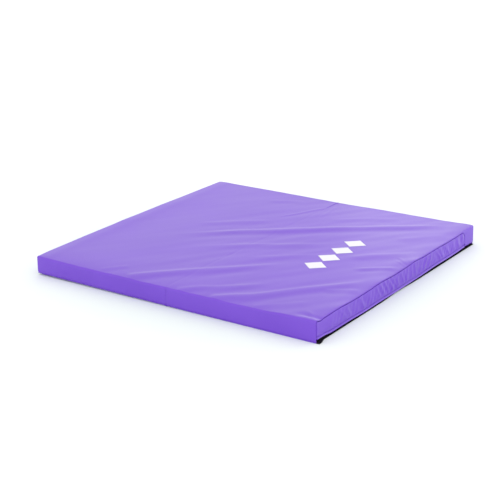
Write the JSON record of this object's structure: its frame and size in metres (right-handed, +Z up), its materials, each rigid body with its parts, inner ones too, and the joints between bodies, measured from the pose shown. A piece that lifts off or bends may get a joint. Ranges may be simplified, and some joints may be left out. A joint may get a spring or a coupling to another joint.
{
  "type": "folding gym mat",
  "caption": "Nearly square padded floor mat with a vinyl cover that folds in half along its middle; each half holds a foam slab behind a zipped end.",
  "frame": {"origin": "on the floor, at the middle of the open mat", "axes": "+X from the left panel to the right panel, across the fold line; +Y along the fold line, away from the front edge; +Z up"},
  "size_m": [1.2, 1.14, 0.076],
  "materials": {
    "cover_vinyl": "satin coated fabric with a fine grain",
    "foam": "open cut foam",
    "zip_tape": "woven polyester tape",
    "zip_coil": "moulded nylon coil",
    "zip_metal": "black enamel on die-cast metal"
  },
  "bodies": {
    "right_panel": {"foam_core_right": "foam", "cover_top_right": "cover_vinyl", "base_sheet_right": "cover_vinyl", "fold_wall_right": "cover_vinyl", "end_band_right": "cover_vinyl", "fold_web": "cover_vinyl", "zip_tape_upper_right": "zip_tape", "zip_tape_lower_right": "zip_tape", "zip_coil_upper_right": "zip_coil", "zip_coil_lower_right": "zip_coil", "zip_stop_closed_right": "zip_metal", "zip_stop_open_right": "zip_metal"},
    "left_panel": {"foam_core_left": "foam", "cover_top_left": "cover_vinyl", "base_sheet_left": "cover_vinyl", "fold_wall_left": "cover_vinyl", "end_band_left": "cover_vinyl", "zip_tape_upper_left": "zip_tape", "zip_tape_lower_left": "zip_tape", "zip_coil_upper_left": "zip_coil", "zip_coil_lower_left": "zip_coil", "zip_stop_closed_left": "zip_metal", "zip_stop_open_left": "zip_metal"},
    "right_slider": {"zip_slider_right": "zip_metal"},
    "right_pull": {"zip_pull_right": "zip_metal"},
    "left_slider": {"zip_slider_left": "zip_metal"},
    "left_pull": {"zip_pull_left": "zip_metal"}
  },
  "joints": [
    {"name": "fold", "type": "hinge", "parent": "right_panel", "child": "left_panel", "pos_m": [0, 0, 0.077], "axis": [0, 1, 0], "range_deg": [0, 180], "deforming": ["fold_web"]},
    {"name": "right_zip", "type": "slide", "parent": "right_panel", "child": "right_slider", "axis": [0, 1, 0], "range_m": [0, 1.07]},
    {"name": "right_pull_swing", "type": "hinge", "parent": "right_slider", "child": "right_pull", "pos_m": [0.5965, -0.545, 0.0056], "axis": [0, 0, -1], "range_deg": [0, 160]},
    {"name": "left_zip", "type": "slide", "parent": "left_panel", "child": "left_slider", "axis": [0, 1, 0], "range_m": [0, 1.07]},
    {"name": "left_pull_swing", "type": "hinge", "parent": "left_slider", "child": "left_pull", "pos_m": [-0.5965, -0.545, 0.0056], "axis": [0, 0, 1], "range_deg": [0, 160]}
  ]
}
